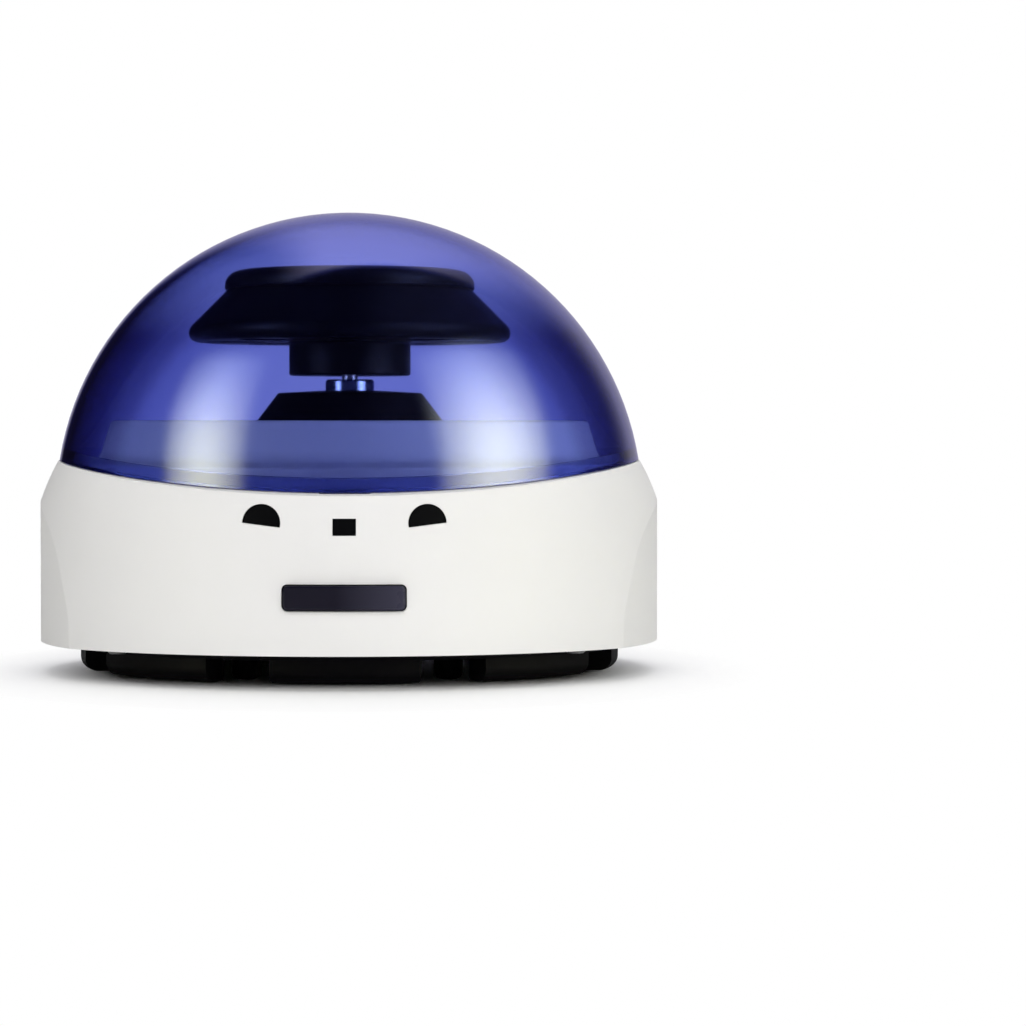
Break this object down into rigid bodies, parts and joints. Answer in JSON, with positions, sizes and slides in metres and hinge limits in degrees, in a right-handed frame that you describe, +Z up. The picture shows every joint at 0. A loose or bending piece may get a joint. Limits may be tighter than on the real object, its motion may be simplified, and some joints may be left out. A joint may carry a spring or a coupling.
{
  "type": "mini centrifuge",
  "caption": "Round bench mini centrifuge with a see-through domed lid hinged at the back, an angled tube rotor, a front release button and a rear power inlet and switch.",
  "frame": {"origin": "on the bench, below the rotor's axis and the middle of the whole object", "axes": "+Z up along the rotor's axis, -Y towards the front with the release button, +X to the right as seen from the front"},
  "size_m": [0.155, 0.1668, 0.115],
  "materials": {
    "shell_white": "satin",
    "liner_white": "satin",
    "dome_violet": "clear gloss",
    "black_plastic": "fine grain",
    "rotor_black": "satin",
    "button_black": "gloss",
    "window_dark": "gloss",
    "inner_plastic": "matte",
    "rubber_black": "matte",
    "steel": "brushed",
    "motor_steel": "satin",
    "collar_chrome": "polished",
    "insert_aluminium": "turned",
    "board_green": "solder mask",
    "capacitor_black": "gloss",
    "regulator_aluminium": "satin",
    "nut_brass": "nickel plated",
    "magnet": "plated"
  },
  "bodies": {
    "base": {"upper_housing": "shell_white", "chamber_liner": "liner_white", "motor_cover": "black_plastic", "base_plate": "black_plastic", "window_left": "window_dark", "window_right": "window_dark", "indicator_window": "window_dark", "motor_can": "motor_steel", "motor_end_cap": "inner_plastic", "motor_plate": "steel", "control_board": "board_green", "board_capacitor": "capacitor_black", "board_regulator": "regulator_aluminium", "dc_jack": "black_plastic", "dc_jack_nut": "nut_brass", "rocker_frame": "black_plastic", "hinge_pin": "steel", "lid_sensor": "inner_plastic", "latch_guide": "inner_plastic", "motor_damper_1": "rubber_black", "motor_damper_2": "rubber_black", "motor_damper_3": "rubber_black", "base_screw_1": "steel", "base_screw_2": "steel", "base_screw_3": "steel", "base_screw_4": "steel", "foot_1": "rubber_black", "foot_2": "rubber_black", "foot_3": "rubber_black", "foot_4": "rubber_black"},
    "spindle": {"motor_shaft": "steel", "drive_collar": "collar_chrome", "rotor": "rotor_black", "rotor_insert": "insert_aluminium"},
    "lid": {"lid_dome": "dome_violet", "lid_hook": "dome_violet", "lid_magnet": "magnet"},
    "release": {"release_button": "button_black", "latch_slider": "inner_plastic", "latch_spring": "steel"},
    "rocker": {"rocker_key": "button_black"}
  },
  "joints": [
    {"name": "rotor_spin", "type": "hinge", "parent": "base", "child": "spindle", "pos_m": [0, 0, 0.073], "axis": [0, 0, 1], "continuous": true},
    {"name": "lid_hinge", "type": "hinge", "parent": "base", "child": "lid", "pos_m": [0, 0.0794, 0.051], "axis": [-1, 0, 0], "range_deg": [0, 95]},
    {"name": "button_press", "type": "slide", "parent": "base", "child": "release", "axis": [0, 1, 0], "range_m": [0, 0.0025], "stiffness_N_per_m": 400, "springref_m": -0.002, "deforming": ["latch_spring"]},
    {"name": "power_rocker", "type": "hinge", "parent": "base", "child": "rocker", "pos_m": [-0.016, 0.0732, 0.0243], "axis": [0, 0, 1], "range_deg": [0, 20]}
  ]
}
